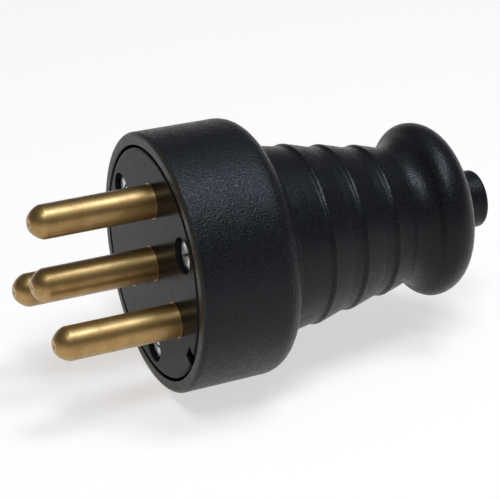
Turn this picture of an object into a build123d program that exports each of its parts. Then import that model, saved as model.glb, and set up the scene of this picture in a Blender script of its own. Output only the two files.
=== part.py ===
# Three-phase plug: a soft moulded cover with a ribbed grip, an insulating pin
# carrier with four round brass pins, their wire terminals and a cord clamp.
# The plug's axis is +X. The pins point along -X and the carrier's front face
# stands at x = 0, so the origin is the centre of that face.

import os
from math import cos, radians, sin

from build123d import *

os.makedirs("parts", exist_ok=True)

# Collar, the wide front of the cover
collar_radius = 25.0
collar_draft = 0.2
rim_width = 2.4
rim_round = 0.8
socket_lip_round = 0.25
shoulder_round = 4.3

# Grip, a cone behind the collar with raised finger bands
grip_front_radius = 18.9
grip_back_radius = 13.05
grip_length = 32.0
grip_root_round = 1.5
grip_wall = 3.3
band_count = 3
band_setback = 8.2
band_tail = 4.3
groove_length = 2.7
band_rise = 0.38
band_front_round = 0.2
band_back_round = 1.2

# Finger flange and cable nozzle at the back
flange_radius = 17.3
flange_front_round = 4.1
flange_back_round = 4.8
flange_back_angle = 12.0
flange_foot_round = 0.6
nozzle_wall = 1.75
nozzle_length = 8.0
nozzle_root_round = 1.2
nozzle_tip_round = 0.8
cable_bore_radius = 4.0
cable_bore_length = 12.0
bore_mouth_chamfer = 0.4

# Pin carrier, the disc in the collar's mouth
carrier_thickness = 7.0
carrier_edge_round = 0.6
carrier_gap = 0.4
key_slot_width = 3.1
key_slot_depth = 2.45
key_slot_round = 0.3
key_sunk = 1.4
key_clearance = 0.1

# Rear plate that traps the pins
block_thickness = 4.0
block_margin = 0.9

# Pins
pin_radius = 3.24
pin_reach = 23.75
nose_length = 2.5
nose_flat_radius = 1.3
nose_bulge = 0.32
centre_mark_radius = 0.45
centre_mark_depth = 0.35
pin_circle_radius = 13.0
phase_count = 3
pin_seat_step = 0.16
pin_shoulder_width = 1.76
pin_shoulder_length = 2.5
phase_barrel_length = 6.5
earth_barrel_length = 11.0
barrel_wall = 2.2
wire_hole_radius = 1.9
wire_hole_depth = 7.0

# Terminal screws, one across each barrel
terminal_screw_radius = 1.5
terminal_head_radius = 2.6
terminal_head_height = 1.8
terminal_from_end = 3.6
terminal_seat_depth = 0.3
terminal_tip_height = 0.9
slot_width = 0.8
slot_depth = 0.8

# Fixing screws through the carrier into inserts in the cover
fixing_edge_distance = 4.8
fixing_count = 3
fixing_screw_radius = 2.0
fixing_head_radius = 3.0
fixing_head_height = 2.2
fixing_head_dome = 0.5
fixing_head_sunk = 0.9
counterbore_clearance = 0.45
recess_span = 3.6
recess_width = 0.85
recess_depth = 1.3
recess_taper = 8.0
screw_engagement = 5.1
insert_wall = 0.7
insert_length = 6.0
boss_wall = 1.5

# Wire space behind the seat
seat_width = 2.4
barrel_end_gap = 0.5
collar_back_wall = 3.0

# Cord clamp on the rear plate's arm
arm_half_width = 5.0
arm_thickness = 2.4
arm_gap = 0.5
gusset_drop = 4.6
gusset_length = 10.0
gusset_width = 2.4
pad_gap = 2.5
pad_length = 6.0
pad_top_drop = 3.0
pad_edge = 2.7
clamp_room = 0.05
clamp_wall = 1.55
clamp_ear_thickness = 2.0
clamp_head_gap = 0.3
clamp_screw_radius = 1.5
clamp_head_radius = 2.4
clamp_head_height = 1.8
clamp_tip_gap = 0.5

# Fits
moulded_clearance = 0.03
screw_hole_clearance = 0.2
thread_clearance = 0.02

# How far a cutting shape runs past the surface that it opens, and how near
# an edge's size or place has to come to the one looked for
overshoot = 1.0
match = 0.01

# Places along the axis that follow from the sizes above
seat_x = carrier_thickness + block_thickness
shoulder_x = carrier_thickness - pin_shoulder_length
cavity_back_x = seat_x + phase_barrel_length + barrel_end_gap
collar_length = cavity_back_x + collar_back_wall
grip_end_x = collar_length + grip_length
flange_crest_x = grip_end_x + flange_front_round
flange_back_x = flange_crest_x + flange_back_round * cos(radians(flange_back_angle))
nozzle_end_x = flange_back_x + nozzle_length
bore_start_x = nozzle_end_x - cable_bore_length
pad_start = seat_x + earth_barrel_length + pad_gap
pad_middle = pad_start + pad_length / 2

# Radii and heights that follow from them
socket_radius = collar_radius - rim_width
carrier_radius = socket_radius - carrier_gap
wire_space_radius = socket_radius - seat_width
fixing_circle_radius = carrier_radius - fixing_edge_distance
counterbore_radius = fixing_head_radius + counterbore_clearance
insert_radius = fixing_screw_radius + insert_wall
boss_radius = insert_radius + boss_wall
pin_seat_radius = pin_radius + pin_seat_step
pin_shoulder_radius = pin_radius + pin_shoulder_width
barrel_radius = wire_hole_radius + barrel_wall
terminal_seat_height = barrel_radius - terminal_seat_depth
nozzle_radius = cable_bore_radius + nozzle_wall
clamp_bore_radius = cable_bore_radius + clamp_room
clamp_radius = clamp_bore_radius + clamp_wall
clamp_screw_offset = clamp_radius + clamp_head_gap + clamp_head_radius
pad_half_width = clamp_screw_offset + pad_edge
arm_bottom = -(barrel_radius + arm_gap + arm_thickness)

# Bands that share the grip's length with the grooves between them
band_pitch = (grip_length - band_setback - band_tail + groove_length) / band_count
band_length = band_pitch - groove_length

# Pins and screws alternate round the axis, seen along +X from +Y towards +Z
phase_angles = [90 + 360 / phase_count * i for i in range(phase_count)]
fixing_angles = [30 + 360 / fixing_count * i for i in range(fixing_count)]
key_angle = phase_angles[1]


def polar(radius, angle):
    """A point in the plane across the axis."""
    return (radius * cos(radians(angle)), radius * sin(radians(angle)))


def grip_radius(x):
    """The grip cone's radius at x, without its bands."""
    share = (x - collar_length) / grip_length
    return grip_front_radius + (grip_back_radius - grip_front_radius) * share


def cavity_radius(x):
    """The radius inside the grip's wall at x."""
    return grip_radius(x) - grip_wall


def key_slot(x, length):
    """A slot in a disc's edge for the cover's key, cut from x."""
    with BuildPart(mode=Mode.PRIVATE) as slot:
        with BuildSketch(Plane.YZ.offset(x)):
            with Locations((carrier_radius + (overshoot - key_slot_depth) / 2, 0)):
                RectangleRounded(key_slot_depth + overshoot, key_slot_width, key_slot_round)
        extrude(amount=length)
    return Location((0, 0, 0), (key_angle, 0, 0)) * slot.part


def save(part, name):
    """Label one finished piece and write it."""
    part.label = name
    export_step(part, f"parts/{name}.step")


# The cover's outline above the axis: rim, collar, shoulder and banded grip
grip_points = []
grip_rounds = []
for i in range(band_count):
    start = collar_length + band_setback + band_pitch * i
    end = start + band_length
    grip_points += [
        (start, grip_radius(start)),
        (start + band_rise / 2, grip_radius(start) + band_rise),
        (end, grip_radius(end) + band_rise),
        (end + band_rise, grip_radius(end + band_rise)),
    ]
    grip_rounds += [0, band_front_round, band_back_round, 0]

outline_points = [
    (0, socket_radius - overshoot),
    (0, collar_radius),
    (collar_length, collar_radius - collar_draft),
    (collar_length, grip_front_radius),
    *grip_points,
    (grip_end_x, grip_back_radius),
    (grip_end_x, flange_radius - flange_front_round),
]
outline_rounds = [
    rim_round,
    shoulder_round,
    grip_root_round,
    *grip_rounds,
    min(flange_foot_round, (flange_radius - flange_front_round - grip_back_radius) / 2),
]

with BuildPart() as cover:
    # Outside, turned about the axis
    with BuildSketch():
        with BuildLine():
            FilletPolyline(*outline_points, radius=outline_rounds)
            flange_front = JernArc(
                (grip_end_x, flange_radius - flange_front_round),
                (0, 1),
                flange_front_round,
                -90,
            )
            flange_back = JernArc(
                flange_front @ 1,
                (1, 0),
                flange_back_round,
                flange_back_angle - 90,
            )
            FilletPolyline(
                flange_back @ 1,
                (flange_back_x, nozzle_radius),
                (nozzle_end_x, nozzle_radius),
                (nozzle_end_x, 0),
                radius=[nozzle_root_round, nozzle_tip_round],
            )
            Polyline((nozzle_end_x, 0), (0, 0), (0, socket_radius - overshoot))
        make_face()
    revolve(axis=Axis.X)
    # Socket for the carrier, wire space, tapered inside of the grip and cable bore
    with BuildSketch():
        with BuildLine():
            Polyline(
                (-overshoot, 0),
                (-overshoot, socket_radius),
                (seat_x, socket_radius),
                (seat_x, wire_space_radius),
                (cavity_back_x, wire_space_radius),
                (cavity_back_x, cavity_radius(cavity_back_x)),
                (grip_end_x - grip_wall, cavity_radius(grip_end_x - grip_wall)),
                (bore_start_x, cable_bore_radius),
                (nozzle_end_x + overshoot, cable_bore_radius),
                (nozzle_end_x + overshoot, 0),
                (-overshoot, 0),
            )
        make_face()
    revolve(axis=Axis.X, mode=Mode.SUBTRACT)
    # Bosses that carry the screw inserts
    with BuildSketch(Plane.YZ.offset(seat_x)):
        with PolarLocations(fixing_circle_radius, fixing_count, start_angle=fixing_angles[0]):
            Circle(boss_radius)
    extrude(amount=cavity_back_x - seat_x)
    with BuildSketch(Plane.YZ.offset(seat_x)):
        with PolarLocations(fixing_circle_radius, fixing_count, start_angle=fixing_angles[0]):
            Circle(insert_radius)
    extrude(amount=insert_length, mode=Mode.SUBTRACT)
    # Key in the socket's wall, which stops the carrier from turning
    key_inner = carrier_radius - key_slot_depth + key_clearance
    key_outer = socket_radius + overshoot
    with BuildSketch(Plane.YZ.offset(key_sunk)):
        with Locations(Location((0, 0), key_angle)):
            with Locations(((key_inner + key_outer) / 2, 0)):
                Rectangle(key_outer - key_inner, key_slot_width - 2 * key_clearance)
    extrude(amount=seat_x - key_sunk)
    # Small rounds at the socket's lip and the nozzle's mouth
    lip = cover.edges().filter_by(GeomType.CIRCLE).filter_by(
        lambda e: abs(e.radius - socket_radius) < match and abs(e.center().X) < match
    )
    fillet(lip, radius=socket_lip_round)
    mouth = cover.edges().filter_by(GeomType.CIRCLE).filter_by(
        lambda e: abs(e.radius - cable_bore_radius) < match
        and abs(e.center().X - nozzle_end_x) < match
    )
    chamfer(mouth, length=bore_mouth_chamfer)
save(cover.part, "cover")

with BuildPart() as pin_carrier:
    with BuildSketch(Plane.YZ):
        Circle(carrier_radius)
    extrude(amount=carrier_thickness)
    fillet(pin_carrier.edges().group_by(Axis.X)[0], radius=carrier_edge_round)
    # Pin holes, wider behind for the pins' shoulders
    with BuildSketch(Plane.YZ):
        Circle(pin_seat_radius + moulded_clearance)
        with PolarLocations(pin_circle_radius, phase_count, start_angle=phase_angles[0]):
            Circle(pin_seat_radius + moulded_clearance)
    extrude(amount=carrier_thickness, mode=Mode.SUBTRACT)
    with BuildSketch(Plane.YZ.offset(shoulder_x)):
        Circle(pin_shoulder_radius + moulded_clearance)
        with PolarLocations(pin_circle_radius, phase_count, start_angle=phase_angles[0]):
            Circle(pin_shoulder_radius + moulded_clearance)
    extrude(amount=pin_shoulder_length, mode=Mode.SUBTRACT)
    # Screw holes, counterbored from the front so that the heads sit below the face
    with BuildSketch(Plane.YZ):
        with PolarLocations(fixing_circle_radius, fixing_count, start_angle=fixing_angles[0]):
            Circle(fixing_screw_radius + screw_hole_clearance)
    extrude(amount=carrier_thickness, mode=Mode.SUBTRACT)
    with BuildSketch(Plane.YZ):
        with PolarLocations(fixing_circle_radius, fixing_count, start_angle=fixing_angles[0]):
            Circle(counterbore_radius)
    extrude(amount=fixing_head_sunk + fixing_head_height, mode=Mode.SUBTRACT)
    # Slot in the edge for the cover's key, in line with one phase pin
    add(key_slot(0, carrier_thickness), mode=Mode.SUBTRACT)
save(pin_carrier.part, "pin_carrier")

with BuildPart() as terminal_block:
    with BuildSketch(Plane.YZ.offset(carrier_thickness)):
        Circle(socket_radius - block_margin)
        Circle(barrel_radius + moulded_clearance, mode=Mode.SUBTRACT)
        with PolarLocations(pin_circle_radius, phase_count, start_angle=phase_angles[0]):
            Circle(barrel_radius + moulded_clearance, mode=Mode.SUBTRACT)
        with PolarLocations(fixing_circle_radius, fixing_count, start_angle=fixing_angles[0]):
            Circle(fixing_screw_radius + screw_hole_clearance, mode=Mode.SUBTRACT)
    extrude(amount=block_thickness)
    add(key_slot(carrier_thickness, block_thickness), mode=Mode.SUBTRACT)
    # Arm that runs back under the earth terminal, with a gusset below it
    with BuildSketch(Plane.YZ.offset(seat_x)):
        with Locations((0, arm_bottom + arm_thickness / 2)):
            Rectangle(2 * arm_half_width, arm_thickness)
    extrude(amount=pad_start - seat_x)
    with BuildSketch(Plane.XZ.offset(-gusset_width / 2)):
        with BuildLine():
            Polyline(
                (seat_x, arm_bottom),
                (seat_x, arm_bottom - gusset_drop),
                (seat_x + gusset_length, arm_bottom),
                (seat_x, arm_bottom),
            )
        make_face()
    extrude(amount=gusset_width)
    # Pad with a trough for the cord and two screw holes
    with BuildSketch(Plane.YZ.offset(pad_start)):
        with Locations((0, (arm_bottom - pad_top_drop) / 2)):
            Rectangle(2 * pad_half_width, -arm_bottom - pad_top_drop)
        Circle(clamp_bore_radius, mode=Mode.SUBTRACT)
    extrude(amount=pad_length)
    with BuildSketch(Plane.XY.offset(-pad_top_drop)):
        with Locations(
            (pad_middle, clamp_screw_offset),
            (pad_middle, -clamp_screw_offset),
        ):
            Circle(clamp_screw_radius + thread_clearance)
    extrude(amount=arm_bottom + pad_top_drop, mode=Mode.SUBTRACT)
save(terminal_block.part, "terminal_block")


def make_pin(barrel_length):
    """A turned pin on the X axis, with its terminal screw hole facing +Z."""
    barrel_end = carrier_thickness + block_thickness + barrel_length
    tip_x = -pin_reach
    with BuildPart() as pin:
        with BuildSketch():
            with BuildLine():
                nose = SagittaArc(
                    (tip_x, nose_flat_radius),
                    (tip_x + nose_length, pin_radius),
                    nose_bulge,
                )
                Polyline(
                    nose @ 1,
                    (0, pin_radius),
                    (0, pin_seat_radius),
                    (shoulder_x, pin_seat_radius),
                    (shoulder_x, pin_shoulder_radius),
                    (carrier_thickness, pin_shoulder_radius),
                    (carrier_thickness, barrel_radius),
                    (barrel_end, barrel_radius),
                    (barrel_end, wire_hole_radius),
                    (barrel_end - wire_hole_depth, wire_hole_radius),
                    (barrel_end - wire_hole_depth - wire_hole_radius / 2, 0),
                    (tip_x + centre_mark_depth, 0),
                    (tip_x, centre_mark_radius),
                    nose @ 0,
                )
            make_face()
        revolve(axis=Axis.X)
        screw_x = barrel_end - terminal_from_end
        with BuildSketch(Plane.XY):
            with Locations((screw_x, 0)):
                Circle(terminal_screw_radius + thread_clearance)
        extrude(amount=barrel_radius + overshoot, mode=Mode.SUBTRACT)
        with BuildSketch(Plane.XY.offset(terminal_seat_height)):
            with Locations((screw_x, 0)):
                Circle(terminal_head_radius + screw_hole_clearance)
        extrude(amount=barrel_radius, mode=Mode.SUBTRACT)
    return pin.part


def make_slotted_screw(shank_radius, head_radius, head_height, shank_length):
    """A cheese-head screw along Z, its head's underside at z = 0."""
    with BuildPart() as screw:
        with BuildSketch(Plane.XY):
            Circle(head_radius)
        extrude(amount=head_height)
        fillet(screw.edges().group_by(Axis.Z)[-1], radius=head_height / 5)
        with BuildSketch(Plane.XY.offset(head_height)):
            Rectangle(2 * (head_radius + overshoot), slot_width)
        extrude(amount=-slot_depth, mode=Mode.SUBTRACT)
        with BuildSketch(Plane.XY):
            Circle(shank_radius)
        extrude(amount=-shank_length)
        chamfer(screw.edges().group_by(Axis.Z)[0], length=shank_radius / 4)
    return screw.part


# The earth pin stands on the axis and the phase pins round it
terminal_shank = terminal_seat_height - terminal_tip_height
pin_places = [("earth", (0, 0), 90, earth_barrel_length)]
for i, angle in enumerate(phase_angles):
    pin_places.append((f"phase_{i + 1}", polar(pin_circle_radius, angle), angle, phase_barrel_length))

for name, (y, z), facing, barrel_length in pin_places:
    turn = Location((0, y, z), (facing - 90, 0, 0))
    save(turn * make_pin(barrel_length), f"pin_{name}")
    screw_x = seat_x + barrel_length - terminal_from_end
    terminal_screw = make_slotted_screw(
        terminal_screw_radius, terminal_head_radius, terminal_head_height, terminal_shank
    )
    raised = Location((screw_x, 0, terminal_seat_height))
    save(turn * raised * terminal_screw, f"terminal_screw_{name}")

# Fixing screws with a domed head and a cross recess, along +X
head_x = fixing_head_sunk
shank_x = fixing_head_sunk + fixing_head_height
screw_end_x = seat_x + screw_engagement
with BuildPart() as fixing_screw:
    with BuildSketch():
        with BuildLine():
            dome = SagittaArc(
                (head_x, 0),
                (head_x + fixing_head_dome, fixing_head_radius),
                fixing_head_dome / 3,
            )
            Polyline(
                dome @ 1,
                (shank_x, fixing_head_radius),
                (shank_x, fixing_screw_radius),
                (screw_end_x - fixing_screw_radius / 2, fixing_screw_radius),
                (screw_end_x, fixing_screw_radius / 2),
                (screw_end_x, 0),
                (head_x, 0),
            )
        make_face()
    revolve(axis=Axis.X)
    with BuildSketch(Plane.YZ):
        Rectangle(recess_span, recess_width)
        Rectangle(recess_width, recess_span)
    extrude(amount=head_x + recess_depth, taper=recess_taper, mode=Mode.SUBTRACT)

# Brass inserts moulded into the cover's bosses
with BuildPart() as threaded_insert:
    with BuildSketch(Plane.YZ.offset(seat_x)):
        Circle(insert_radius)
        Circle(fixing_screw_radius + thread_clearance, mode=Mode.SUBTRACT)
    extrude(amount=insert_length)

for i, angle in enumerate(fixing_angles):
    y, z = polar(fixing_circle_radius, angle)
    turn = Location((0, y, z), (angle, 0, 0))
    save(turn * fixing_screw.part, f"fixing_screw_{i + 1}")
    save(turn * threaded_insert.part, f"threaded_insert_{i + 1}")

with BuildPart() as cord_clamp:
    ear_top = clamp_ear_thickness - pad_top_drop
    with BuildSketch(Plane.YZ.offset(pad_start)):
        Circle(clamp_radius)
        with Locations((0, (ear_top - pad_top_drop) / 2)):
            Rectangle(2 * pad_half_width, clamp_ear_thickness)
        Circle(clamp_bore_radius, mode=Mode.SUBTRACT)
        with Locations((0, -pad_top_drop - clamp_radius)):
            Rectangle(2 * clamp_radius + overshoot, 2 * clamp_radius, mode=Mode.SUBTRACT)
    extrude(amount=pad_length)
    with BuildSketch(Plane.XY.offset(ear_top)):
        with Locations(
            (pad_middle, clamp_screw_offset),
            (pad_middle, -clamp_screw_offset),
        ):
            Circle(clamp_screw_radius + screw_hole_clearance)
    extrude(amount=-clamp_ear_thickness, mode=Mode.SUBTRACT)
save(cord_clamp.part, "cord_clamp")

clamp_shank = ear_top - arm_bottom - clamp_tip_gap
clamp_screw = make_slotted_screw(
    clamp_screw_radius, clamp_head_radius, clamp_head_height, clamp_shank
)
for i, side in enumerate((1, -1)):
    place = Location((pad_middle, side * clamp_screw_offset, ear_top))
    save(place * clamp_screw, f"clamp_screw_{i + 1}")
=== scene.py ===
import math

import bmesh
import bpy
from mathutils import Matrix, Vector


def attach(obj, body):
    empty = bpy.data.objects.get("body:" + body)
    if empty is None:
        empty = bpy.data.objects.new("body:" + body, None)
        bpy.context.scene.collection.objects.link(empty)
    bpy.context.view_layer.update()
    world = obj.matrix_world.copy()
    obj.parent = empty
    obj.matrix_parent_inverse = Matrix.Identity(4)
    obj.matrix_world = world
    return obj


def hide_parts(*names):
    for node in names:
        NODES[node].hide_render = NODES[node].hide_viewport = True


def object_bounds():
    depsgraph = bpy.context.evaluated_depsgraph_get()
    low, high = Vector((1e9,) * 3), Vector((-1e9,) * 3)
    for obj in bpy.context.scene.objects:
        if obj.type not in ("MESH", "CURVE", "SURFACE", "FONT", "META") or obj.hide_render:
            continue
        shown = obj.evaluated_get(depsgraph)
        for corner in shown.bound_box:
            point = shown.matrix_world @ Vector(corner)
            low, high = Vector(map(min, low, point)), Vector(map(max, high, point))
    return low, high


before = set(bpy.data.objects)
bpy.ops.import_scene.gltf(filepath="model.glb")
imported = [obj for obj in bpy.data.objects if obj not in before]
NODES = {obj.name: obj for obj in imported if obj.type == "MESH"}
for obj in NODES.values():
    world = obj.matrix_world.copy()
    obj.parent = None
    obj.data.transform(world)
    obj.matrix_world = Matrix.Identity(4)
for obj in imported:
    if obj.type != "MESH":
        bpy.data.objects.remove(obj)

MM = 0.001


def corners():
    """The shown object's box as plain lists."""
    low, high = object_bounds()
    return [list(low), list(high)]


cad_box = corners()


# Shader nodes


class Graph:
    """One material and short calls for the nodes that it is made of."""

    def __init__(self, name, **fixed):
        self.material = bpy.data.materials.new(name)
        self.material.use_nodes = True
        self.tree = self.material.node_tree
        self.shader = self.tree.nodes["Principled BSDF"]
        for socket, value in fixed.items():
            self.shader.inputs[socket.replace("_", " ")].default_value = value
        place = self.add("ShaderNodeTexCoord").outputs["Object"]
        self.place = self.vector("SCALE", place, scale=1 / MM)
        split = self.add("ShaderNodeSeparateXYZ")
        self.put(split.inputs[0], self.place)
        self.x, self.y, self.z = split.outputs

    def add(self, kind):
        return self.tree.nodes.new(kind)

    def put(self, socket, value):
        """Link a node's output, or set a plain value."""
        if isinstance(value, bpy.types.NodeSocket):
            self.tree.links.new(value, socket)
        else:
            socket.default_value = value

    def math(self, operation, a, b=None):
        node = self.add("ShaderNodeMath")
        node.operation = operation
        self.put(node.inputs[0], a)
        if b is not None:
            self.put(node.inputs[1], b)
        return node.outputs[0]

    def vector(self, operation, a, b=None, scale=None):
        node = self.add("ShaderNodeVectorMath")
        node.operation = operation
        self.put(node.inputs[0], a)
        if b is not None:
            self.put(node.inputs[1], b)
        if scale is not None:
            self.put(node.inputs["Scale"], scale)
        return node.outputs["Value" if operation == "LENGTH" else "Vector"]

    def join(self, x, y, z):
        node = self.add("ShaderNodeCombineXYZ")
        for socket, value in zip(node.inputs, (x, y, z)):
            self.put(socket, value)
        return node.outputs[0]

    def noise(self, place, scale, detail=2.0, roughness=0.5, distortion=0.0):
        node = self.add("ShaderNodeTexNoise")
        self.put(node.inputs["Vector"], place)
        self.put(node.inputs["Scale"], scale)
        self.put(node.inputs["Detail"], detail)
        self.put(node.inputs["Roughness"], roughness)
        self.put(node.inputs["Distortion"], distortion)
        return node.outputs[0]

    def cells(self, place, scale):
        node = self.add("ShaderNodeTexVoronoi")
        self.put(node.inputs["Vector"], place)
        self.put(node.inputs["Scale"], scale)
        return node.outputs["Distance"]

    def step(self, value, start, end, low=0.0, high=1.0):
        """A smooth step from low at start to high at end."""
        node = self.add("ShaderNodeMapRange")
        node.interpolation_type = "SMOOTHSTEP"
        for socket, number in zip(node.inputs[:5], (value, start, end, low, high)):
            self.put(socket, number)
        return node.outputs[0]

    def blend(self, share, a, b):
        """Mix two numbers."""
        node = self.add("ShaderNodeMix")
        node.data_type = "FLOAT"
        self.put(node.inputs[0], share)
        self.put(node.inputs[2], a)
        self.put(node.inputs[3], b)
        return node.outputs[0]

    def tint(self, share, a, b):
        """Mix two colours."""
        node = self.add("ShaderNodeMix")
        node.data_type = "RGBA"
        self.put(node.inputs[0], share)
        self.put(node.inputs[6], (*a, 1) if isinstance(a, tuple) else a)
        self.put(node.inputs[7], (*b, 1) if isinstance(b, tuple) else b)
        return node.outputs[2]

    def bump(self, height, depth_mm, normal=None):
        node = self.add("ShaderNodeBump")
        self.put(node.inputs["Height"], height)
        self.put(node.inputs["Distance"], depth_mm * MM)
        if normal is not None:
            self.put(node.inputs["Normal"], normal)
        return node.outputs[0]

    def finish(self, colour=None, roughness=None, normal=None):
        if colour is not None:
            self.put(self.shader.inputs["Base Color"], colour)
        if roughness is not None:
            self.put(self.shader.inputs["Roughness"], roughness)
        if normal is not None:
            self.put(self.shader.inputs["Normal"], normal)
        return self.material


# Materials

BAND_STARTS = (29.2, 36.6, 44.0)


def soft_black():
    """The cover: sparkling spark-eroded grain with lighter specks painted into its colour as
    glints, lighter on the grip, smooth band crests.
    """
    g = Graph("soft_black", Specular_IOR_Level=0.21)
    radius = g.vector("LENGTH", g.join(0.0, g.y, g.z))
    collar = g.math("MULTIPLY", g.step(g.x, 20.6, 19.2), g.step(radius, 17.0, 19.0))
    face = g.step(g.x, 0.75, 0.35)
    grain = g.noise(g.place, 2.6, detail=2.0, roughness=0.6)
    pits = g.cells(g.place, 3.1)
    swell = g.noise(g.place, 0.35, detail=2.0)
    height = g.math("ADD", grain, g.math("MULTIPLY", pits, 0.6))
    depth = g.blend(collar, 0.55, 1.0)
    depth = g.math("MULTIPLY", depth, g.blend(face, 1.0, 0.4))
    height = g.math("MULTIPLY", height, depth)
    normal = g.bump(swell, 0.04)
    normal = g.bump(height, 0.088, normal)
    wear = g.math("MULTIPLY", g.step(g.noise(g.place, 0.22, detail=5.0), 0.52, 0.68), 0.4)
    colour = g.tint(wear, (0.0070, 0.0070, 0.0078), (0.0120, 0.0120, 0.0135))
    # Painted highlight: lighter bluish specks in the base colour stand in for the grain's
    # glints under the lamps.
    painted_glints = g.step(g.noise(g.place, 4.0, detail=1.0), 0.56, 0.74)
    painted_glints = g.math("MULTIPLY", painted_glints, g.blend(collar, 0.7, 1.0))
    colour = g.tint(painted_glints, colour, (0.026, 0.029, 0.037))
    dust = g.step(g.noise(g.place, 1.7, detail=1.0), 0.735, 0.775)
    colour = g.tint(g.math("MULTIPLY", dust, 0.3), colour, (0.09, 0.09, 0.10))
    colour = g.tint(face, colour, (0.030, 0.025, 0.018))
    rough = g.step(g.noise(g.place, 0.6, detail=4.0), 0.3, 0.7, 0.36, 0.44)
    glint = g.math("MULTIPLY", g.step(g.noise(g.place, 3.4, detail=1.0), 0.50, 0.62), 0.17)
    rough = g.math("SUBTRACT", rough, glint)
    for start in BAND_STARTS:
        rise = g.step(g.x, start + 0.2, start + 0.6)
        crest = g.math("MULTIPLY", rise, g.step(g.x, start + 1.6, start + 1.1))
        rough = g.math("SUBTRACT", rough, g.math("MULTIPLY", crest, 0.10))
    return g.finish(colour, rough, normal)


def black_insulator():
    """The pin carrier: smooth moulded disc with faint flow marks and scuffs."""
    g = Graph("black_insulator", Specular_IOR_Level=0.05)
    flow = g.noise(g.place, 0.16, detail=3.0, distortion=1.2)
    fine = g.noise(g.place, 4.5, detail=2.0)
    stretched = g.join(0.0, g.math("MULTIPLY", g.y, 0.35), g.math("MULTIPLY", g.z, 3.2))
    streaks = g.noise(stretched, 1.0, detail=4.0)
    scuff = g.step(streaks, 0.60, 0.72)
    normal = g.bump(flow, 0.03)
    normal = g.bump(fine, 0.003, normal)
    colour = g.tint(flow, (0.0100, 0.0104, 0.0092), (0.015, 0.0155, 0.0138))
    colour = g.tint(g.math("MULTIPLY", scuff, 0.25), colour, (0.030, 0.030, 0.028))
    rough = g.step(g.noise(g.place, 0.5, detail=4.0), 0.3, 0.7, 0.17, 0.24)
    rough = g.math("ADD", rough, g.math("MULTIPLY", scuff, 0.05))
    return g.finish(colour, rough, normal)


def pin_brass(name="pin_brass"):
    """Turned brass with a fine drawn grain along the pin and rings on its nose."""
    g = Graph(name, Metallic=1.0, Coat_Weight=0.5, Coat_Roughness=0.30)
    along = g.math("MULTIPLY", g.x, 0.12)
    drawn_place = g.join(along, g.math("MULTIPLY", g.y, 9.0), g.math("MULTIPLY", g.z, 9.0))
    drawn = g.noise(drawn_place, 1.0, detail=3.0, roughness=0.6)
    rings = g.noise(g.join(g.math("MULTIPLY", g.x, 9.0), 0.0, 0.0), 1.0, detail=2.0)
    nose = g.step(g.x, -20.9, -21.5)
    stain = g.noise(g.place, 0.28, detail=5.0, roughness=0.6)
    spots = g.step(g.noise(g.place, 1.4, detail=2.0), 0.64, 0.74)
    height = g.blend(nose, drawn, rings)
    normal = g.bump(height, 0.0025)
    colour = g.tint(g.step(stain, 0.35, 0.7), (0.420, 0.265, 0.092), (0.330, 0.192, 0.062))
    scored = g.math("MULTIPLY", g.step(drawn, 0.45, 0.75), 0.25)
    colour = g.tint(scored, colour, (0.25, 0.14, 0.052))
    colour = g.tint(g.math("MULTIPLY", spots, 0.35), colour, (0.17, 0.10, 0.045))
    rough = g.step(stain, 0.3, 0.7, 0.40, 0.47)
    return g.finish(colour, rough, normal)


def plated_steel(name, base, worn):
    """Zinc-plated screws with a faint grain."""
    g = Graph(name, Metallic=1.0)
    grain = g.noise(g.place, 5.0, detail=3.0)
    cloud = g.noise(g.place, 0.7, detail=4.0)
    normal = g.bump(grain, 0.008)
    colour = g.tint(g.step(cloud, 0.35, 0.7), base, worn)
    rough = g.step(cloud, 0.3, 0.7, 0.24, 0.38)
    return g.finish(colour, rough, normal)


def grey_insulator():
    """The rear plate and the cord clamp, moulded in a matt grey."""
    g = Graph("grey_insulator", Specular_IOR_Level=0.4)
    grain = g.noise(g.place, 3.5, detail=3.0)
    cloud = g.noise(g.place, 0.2, detail=4.0)
    normal = g.bump(grain, 0.02)
    colour = g.tint(cloud, (0.16, 0.165, 0.17), (0.20, 0.205, 0.21))
    rough = g.step(cloud, 0.3, 0.7, 0.5, 0.62)
    return g.finish(colour, rough, normal)


black_disc = black_insulator()
cover_black = soft_black()
brass = pin_brass()
insert_brass = pin_brass("insert_brass")
zinc = plated_steel("zinc_steel", (0.64, 0.67, 0.70), (0.50, 0.53, 0.57))
steel = plated_steel("terminal_steel", (0.56, 0.56, 0.56), (0.42, 0.42, 0.43))
grey = grey_insulator()

FINISHES = {
    "cover": cover_black,
    "pin_carrier": black_disc,
    "terminal_block": grey,
    "cord_clamp": grey,
    "pin": brass,
    "threaded_insert": insert_brass,
    "fixing_screw": zinc,
    "terminal_screw": steel,
    "clamp_screw": steel,
}


def finish_of(name):
    """The material for a node, by its name or what the name starts with."""
    starts = [key for key in FINISHES if name.startswith(key)]
    return FINISHES[max(starts, key=len)]


for name, node in NODES.items():
    material = finish_of(name)
    if not node.material_slots:
        node.data.materials.append(material)
    for slot in node.material_slots:
        slot.material = material


# The cover as it shows: soft finger bands and a flange whose front is an S-curve.
# Sizes in millimetres; the socket, the inside and the bore are the CAD cover's.

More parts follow.
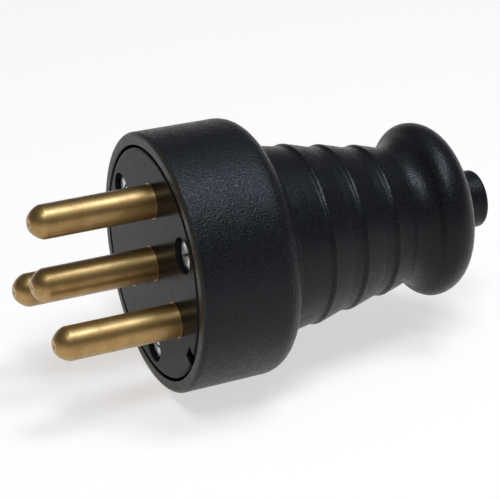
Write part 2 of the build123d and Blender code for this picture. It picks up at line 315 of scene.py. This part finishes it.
COLLAR_RADIUS, COLLAR_BACK_RADIUS, COLLAR_LENGTH = 25.0, 24.8, 21.0
SOCKET_RADIUS, WIRE_RADIUS, BORE_RADIUS = 22.6, 20.2, 4.0
GRIP_FRONT, GRIP_BACK, GRIP_LENGTH, GRIP_WALL = 18.9, 13.05, 32.0, 3.3
SEAT_X, CAVITY_X = 11.0, 18.0
RIM_ROUND, SHOULDER_ROUND, ROOT_ROUND, LIP_ROUND = 0.8, 4.3, 2.2, 0.25
LIP_MIDDLE = 0.07
BAND_LENGTH = 4.7
BAND_FRONT_RUN, BAND_FRONT_RISE = 0.75, 0.42
BAND_BACK_RUN, BAND_BACK_RISE = 0.6, 0.1
BAND_ROUNDS = [0.4, 0.7, 2.0, 2.0]
FLANGE_RADIUS, FLANGE_LEAN = 17.3, math.radians(58)
CREST_X, FRONT_ROUND, BACK_ROUND, FOOT_ROUND = 56.8, 3.2, 5.1, 4.2
LEAN_START, CREST_TOP, BACK_END = 148, 90, 12
BACK_X = CREST_X + BACK_ROUND * math.cos(math.radians(BACK_END))
NOZZLE_RADIUS, NOZZLE_X = 5.75, BACK_X + 8.0
NOZZLE_ROUNDS, MOUTH_CHAMFER = [1.2, 0.8], 0.4
BORE_X = NOZZLE_X - 12.0
BOSS_CIRCLE, BOSS_RADIUS, INSERT_RADIUS, INSERT_LENGTH = 17.4, 4.2, 2.7, 6.0
BOSS_ANGLES, BOSS_SIDES = (30, 150, 270), 48
KEY_ANGLE, KEY_SUNK, KEY_INNER, KEY_WIDTH = math.radians(210), 1.4, 19.85, 2.9
KEY_ROOT = 0.6
MERGE, SHARP = 1e-7, math.radians(35)
SIDES = 192


def grip_at(x):
    """The grip cone's radius at x, without its bands."""
    return GRIP_FRONT + (GRIP_BACK - GRIP_FRONT) * (x - COLLAR_LENGTH) / GRIP_LENGTH


def rounded(points, rounds, steps=8):
    """A run of (x, radius) points with its inner corners turned into arcs."""
    result = [Vector(points[0])]
    for before, corner, after, size in zip(points, points[1:], points[2:], rounds):
        corner = Vector(corner)
        if not size:
            result.append(corner)
            continue
        back = (Vector(before) - corner).normalized()
        on = (Vector(after) - corner).normalized()
        half = back.angle(on) / 2
        start = corner + back * size / math.tan(half)
        end = corner + on * size / math.tan(half)
        centre = corner + (back + on).normalized() * size / math.sin(half)
        for step in range(steps + 1):
            spoke = (start - centre).slerp(end - centre, step / steps).normalized()
            result.append(centre + size * spoke)
    return result + [Vector(points[-1])]


def crest_arc(size, start, end, steps=14):
    """One of the two arcs that meet level at the flange's crest."""
    centre = Vector((CREST_X, FLANGE_RADIUS - size))
    turns = [math.radians(start + (end - start) * step / steps) for step in range(steps + 1)]
    return [centre + size * Vector((math.cos(turn), math.sin(turn))) for turn in turns]


def held(points, margin=0.12):
    """The same profile with points near the ends of its long runs, for clean shading."""
    result = []
    for a, b in zip(points, points[1:] + points[:1]):
        result.append(a)
        run = b - a
        if run.length > 4 * margin:
            result += [a + run.normalized() * margin, b - run.normalized() * margin]
    return result


def turned(mesh, profile, centre=(0.0, 0.0), sides=SIDES):
    """Turn a closed profile about the line through centre along X."""
    rings = []
    for side in range(sides):
        angle = 2 * math.pi * side / sides
        y, z = math.cos(angle), math.sin(angle)
        rings.append([
            mesh.verts.new((x * MM, (centre[0] + r * y) * MM, (centre[1] + r * z) * MM))
            for x, r in profile
        ])
    for side in range(sides):
        here, following = rings[side], rings[(side + 1) % sides]
        for i in range(len(profile)):
            j = (i + 1) % len(profile)
            mesh.faces.new((here[i], here[j], following[j], following[i]))


def cover_profile():
    """The cover's closed section: outside from rim to nozzle, then back inside."""
    points = [(0, SOCKET_RADIUS + LIP_ROUND), (0, COLLAR_RADIUS)]
    points += [(COLLAR_LENGTH, COLLAR_BACK_RADIUS), (COLLAR_LENGTH, GRIP_FRONT)]
    rounds = [RIM_ROUND, SHOULDER_ROUND, ROOT_ROUND]
    for start in BAND_STARTS:
        end = start + BAND_LENGTH
        points += [
            (start, grip_at(start)),
            (start + BAND_FRONT_RUN, grip_at(start) + BAND_FRONT_RISE),
            (end, grip_at(end) + BAND_BACK_RISE),
            (end + BAND_BACK_RUN, grip_at(end + BAND_BACK_RUN)),
        ]
        rounds += BAND_ROUNDS
    top = crest_arc(FRONT_ROUND, LEAN_START, CREST_TOP)
    back = crest_arc(BACK_ROUND, CREST_TOP, BACK_END)
    slope = (GRIP_BACK - GRIP_FRONT) / GRIP_LENGTH
    rise = top[0].y - grip_at(top[0].x)
    foot_x = top[0].x - rise / (math.tan(FLANGE_LEAN) - slope)
    points += [(foot_x, grip_at(foot_x)), tuple(top[0])]
    outside = rounded(points, rounds + [FOOT_ROUND]) + top[1:] + back[1:-1]
    nozzle = [tuple(back[-1]), (BACK_X, NOZZLE_RADIUS)]
    nozzle += [(NOZZLE_X, NOZZLE_RADIUS), (NOZZLE_X, BORE_RADIUS + MOUTH_CHAMFER)]
    outside += rounded(nozzle, NOZZLE_ROUNDS)
    inner_end = COLLAR_LENGTH + GRIP_LENGTH - GRIP_WALL
    inside = [
        (NOZZLE_X - MOUTH_CHAMFER, BORE_RADIUS),
        (BORE_X, BORE_RADIUS),
        (inner_end, grip_at(inner_end) - GRIP_WALL),
        (CAVITY_X, grip_at(CAVITY_X) - GRIP_WALL),
        (CAVITY_X, WIRE_RADIUS),
        (SEAT_X, WIRE_RADIUS),
        (SEAT_X, SOCKET_RADIUS),
        (LIP_ROUND, SOCKET_RADIUS),
        (LIP_MIDDLE, SOCKET_RADIUS + LIP_MIDDLE),
    ]
    return held(outside + [Vector(point) for point in inside])


def make_cover():
    """The moulding with its three insert bosses and its key."""
    mesh = bmesh.new()
    turned(mesh, cover_profile())
    hole_end = SEAT_X + INSERT_LENGTH
    boss = [(hole_end, 0.0), (hole_end, INSERT_RADIUS), (SEAT_X, INSERT_RADIUS)]
    boss += [(SEAT_X, BOSS_RADIUS), (CAVITY_X, BOSS_RADIUS), (CAVITY_X, 0.0)]
    for angle in BOSS_ANGLES:
        turn = math.radians(angle)
        place = (BOSS_CIRCLE * math.cos(turn), BOSS_CIRCLE * math.sin(turn))
        turned(mesh, boss, place, BOSS_SIDES)
    outward = Vector((0, math.cos(KEY_ANGLE), math.sin(KEY_ANGLE)))
    across = Vector((0, -outward.z, outward.y))
    key_outer = SOCKET_RADIUS + KEY_ROOT
    size = (SEAT_X - KEY_SUNK, key_outer - KEY_INNER, KEY_WIDTH)
    middle = Vector(((SEAT_X + KEY_SUNK) / 2, 0, 0)) + outward * (key_outer + KEY_INNER) / 2
    axes = Matrix((Vector((1, 0, 0)), outward, across)).transposed()
    for vert in bmesh.ops.create_cube(mesh, size=1.0)["verts"]:
        vert.co = (middle + axes @ (Vector(a * b for a, b in zip(vert.co, size)))) * MM
    bmesh.ops.remove_doubles(mesh, verts=mesh.verts, dist=MERGE)
    bmesh.ops.recalc_face_normals(mesh, faces=mesh.faces)
    data = bpy.data.meshes.new("cover_moulding")
    mesh.to_mesh(data)
    mesh.free()
    data.shade_smooth()
    data.set_sharp_from_angle(angle=SHARP)
    piece = bpy.data.objects.new("cover_moulding", data)
    bpy.context.scene.collection.objects.link(piece)
    data.materials.append(cover_black)
    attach(piece, "root")
    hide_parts("cover")


make_cover()


# The fixing screws as they show: wider, shallower heads on the same shanks

HEAD_UNDERSIDE, HEAD_WIDENED, HEAD_RAISED = 3.1, 3.2 / 3.0, 0.35
HEAD_EDGE = 2.5


def make_fixing_screw(name, angle):
    """A copy of the screw's mesh with its head a little wider and nearer the face."""
    data = NODES[name].data.copy()
    centre = Vector((0, math.cos(angle), math.sin(angle))) * BOSS_CIRCLE * MM
    for vert in data.vertices:
        along = vert.co.x / MM
        across = Vector((0, vert.co.y, vert.co.z)) - centre
        if along < HEAD_UNDERSIDE + 0.01 and across.length > HEAD_EDGE * MM:
            vert.co = Vector((vert.co.x, 0, 0)) + centre + across * HEAD_WIDENED
        if along < HEAD_UNDERSIDE - 0.1:
            vert.co.x -= HEAD_RAISED * MM
    piece = bpy.data.objects.new(f"{name}_shown", data)
    bpy.context.scene.collection.objects.link(piece)
    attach(piece, "root")
    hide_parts(name)


for count, angle in enumerate(BOSS_ANGLES, start=1):
    make_fixing_screw(f"fixing_screw_{count}", math.radians(angle))


# Floor that curves up all round into a low wall

FLOOR_Z = cad_box[0][2]
FLOOR_RADIUS = 1.1
FLOOR_RING = 0.12
WALL_RADIUS = 0.12
WALL_RISE = 0.05
FLOOR_SIDES = 96
COVE_STEPS = 12
FLOOR_COLOUR = (0.47, 0.435, 0.41, 1)
GLOW_COLOUR = (1, 0.985, 0.97, 1)
FLOOR_LIFT = 0.63


def make_floor():
    """A round sweep: flat out to the cove, then a quarter round and a straight rise."""
    profile = [(FLOOR_RING * i, 0.0) for i in range(1, 10)]
    profile.append((FLOOR_RADIUS, 0.0))
    for step in range(1, COVE_STEPS + 1):
        angle = math.radians(90 * step / COVE_STEPS)
        out, rise = math.sin(angle), 1 - math.cos(angle)
        profile.append((FLOOR_RADIUS + WALL_RADIUS * out, WALL_RADIUS * rise))
    profile.append((FLOOR_RADIUS + WALL_RADIUS, WALL_RADIUS + WALL_RISE))
    points = [(0.0, 0.0, FLOOR_Z)]
    faces = []
    for ring, (radius, rise) in enumerate(profile):
        for side in range(FLOOR_SIDES):
            angle = 2 * math.pi * side / FLOOR_SIDES
            points.append((radius * math.cos(angle), radius * math.sin(angle), FLOOR_Z + rise))
        start = 1 + ring * FLOOR_SIDES
        for side in range(FLOOR_SIDES):
            following = (side + 1) % FLOOR_SIDES
            if ring == 0:
                faces.append((0, start + side, start + following))
            else:
                below = start - FLOOR_SIDES
                faces.append((below + side, start + side, start + following, below + following))
    mesh = bpy.data.meshes.new("floor")
    mesh.from_pydata(points, [], faces)
    mesh.shade_smooth()
    floor = bpy.data.objects.new("floor", mesh)
    bpy.context.scene.collection.objects.link(floor)
    floor.data.materials.append(floor_material())


def floor_material():
    """Pale matt floor, lifted to white where the camera or a reflection sees it."""
    material = bpy.data.materials.new("floor_pale")
    material.use_nodes = True
    tree = material.node_tree
    tree.nodes.clear()
    new, link = tree.nodes.new, tree.links.new
    diffuse = new("ShaderNodeBsdfDiffuse")
    diffuse.inputs["Color"].default_value = FLOOR_COLOUR
    glow = new("ShaderNodeEmission")
    glow.inputs["Color"].default_value = GLOW_COLOUR
    path = new("ShaderNodeLightPath")
    seen = new("ShaderNodeMath")
    seen.operation = "MAXIMUM"
    link(path.outputs["Is Camera Ray"], seen.inputs[0])
    link(path.outputs["Is Glossy Ray"], seen.inputs[1])
    clear = new("ShaderNodeMath")
    clear.operation = "MAXIMUM"
    link(seen.outputs[0], clear.inputs[0])
    link(path.outputs["Is Transmission Ray"], clear.inputs[1])
    lift = new("ShaderNodeMath")
    lift.operation = "MULTIPLY"
    link(clear.outputs[0], lift.inputs[0])
    lift.inputs[1].default_value = FLOOR_LIFT
    link(lift.outputs[0], glow.inputs["Strength"])
    both = new("ShaderNodeAddShader")
    link(diffuse.outputs[0], both.inputs[0])
    link(glow.outputs[0], both.inputs[1])
    out = new("ShaderNodeOutputMaterial")
    link(both.outputs[0], out.inputs["Surface"])
    return material


make_floor()


# Soft studio light


LAMP_DISTANCE = 0.8
WORLD_COLOUR = (0.12, 0.12, 0.125, 1)


def soft_light(name, towards, size, radiance, colour):
    """A square or oblong soft box that faces the plug, with the given brightness."""
    lamp = bpy.data.lights.new(name, "AREA")
    lamp.shape = "RECTANGLE"
    lamp.size, lamp.size_y = size
    lamp.energy = radiance * math.pi * size[0] * size[1]
    lamp.color = colour
    holder = bpy.data.objects.new(name, lamp)
    way = Vector(towards).normalized()
    holder.location = way * LAMP_DISTANCE
    holder.rotation_mode = "QUATERNION"
    holder.rotation_quaternion = way.to_track_quat("Z", "Y")
    holder.visible_camera = False
    bpy.context.scene.collection.objects.link(holder)


soft_light("key", (0.29, -0.14, 0.95), (0.22, 0.30), 14.5, (0.74, 0.85, 1.0))
soft_light("side", (-0.14, -0.38, 0.91), (0.24, 0.20), 18.0, (0.80, 0.90, 1.0))
soft_light("overhead", (0.12, 0.0, 0.99), (0.62, 0.66), 0.5, (0.76, 0.88, 1.0))

world = bpy.data.worlds.new("studio")
world.use_nodes = True
world.node_tree.nodes["Background"].inputs["Color"].default_value = WORLD_COLOUR
world.node_tree.nodes["Background"].inputs["Strength"].default_value = 1.0
bpy.context.scene.world = world


# Camera at the photograph's place

CAMERA_PLACE = Vector((-123.5, -316.4, 176.3)) * MM
CAMERA_FORWARD = Vector((0.3683, 0.8106, -0.4552)).normalized()
CAMERA_RIGHT = Vector((0.9108, -0.4129, 0.0016))
SENSOR = 36.0
FOCAL_PIXELS = 2033.8
IMAGE_PIXELS = 500

right = (CAMERA_RIGHT - CAMERA_FORWARD * CAMERA_FORWARD.dot(CAMERA_RIGHT)).normalized()
up = right.cross(CAMERA_FORWARD)
camera_data = bpy.data.cameras.new("camera")
camera_data.sensor_width = SENSOR
camera_data.lens = SENSOR * FOCAL_PIXELS / IMAGE_PIXELS
camera_data.clip_start = 0.01
camera = bpy.data.objects.new("camera", camera_data)
turn = Matrix((right, up, -CAMERA_FORWARD)).transposed()
camera.matrix_world = Matrix.Translation(CAMERA_PLACE) @ turn.to_4x4()
bpy.context.scene.collection.objects.link(camera)
bpy.context.scene.camera = camera
bpy.context.scene.view_settings.view_transform = "Standard"
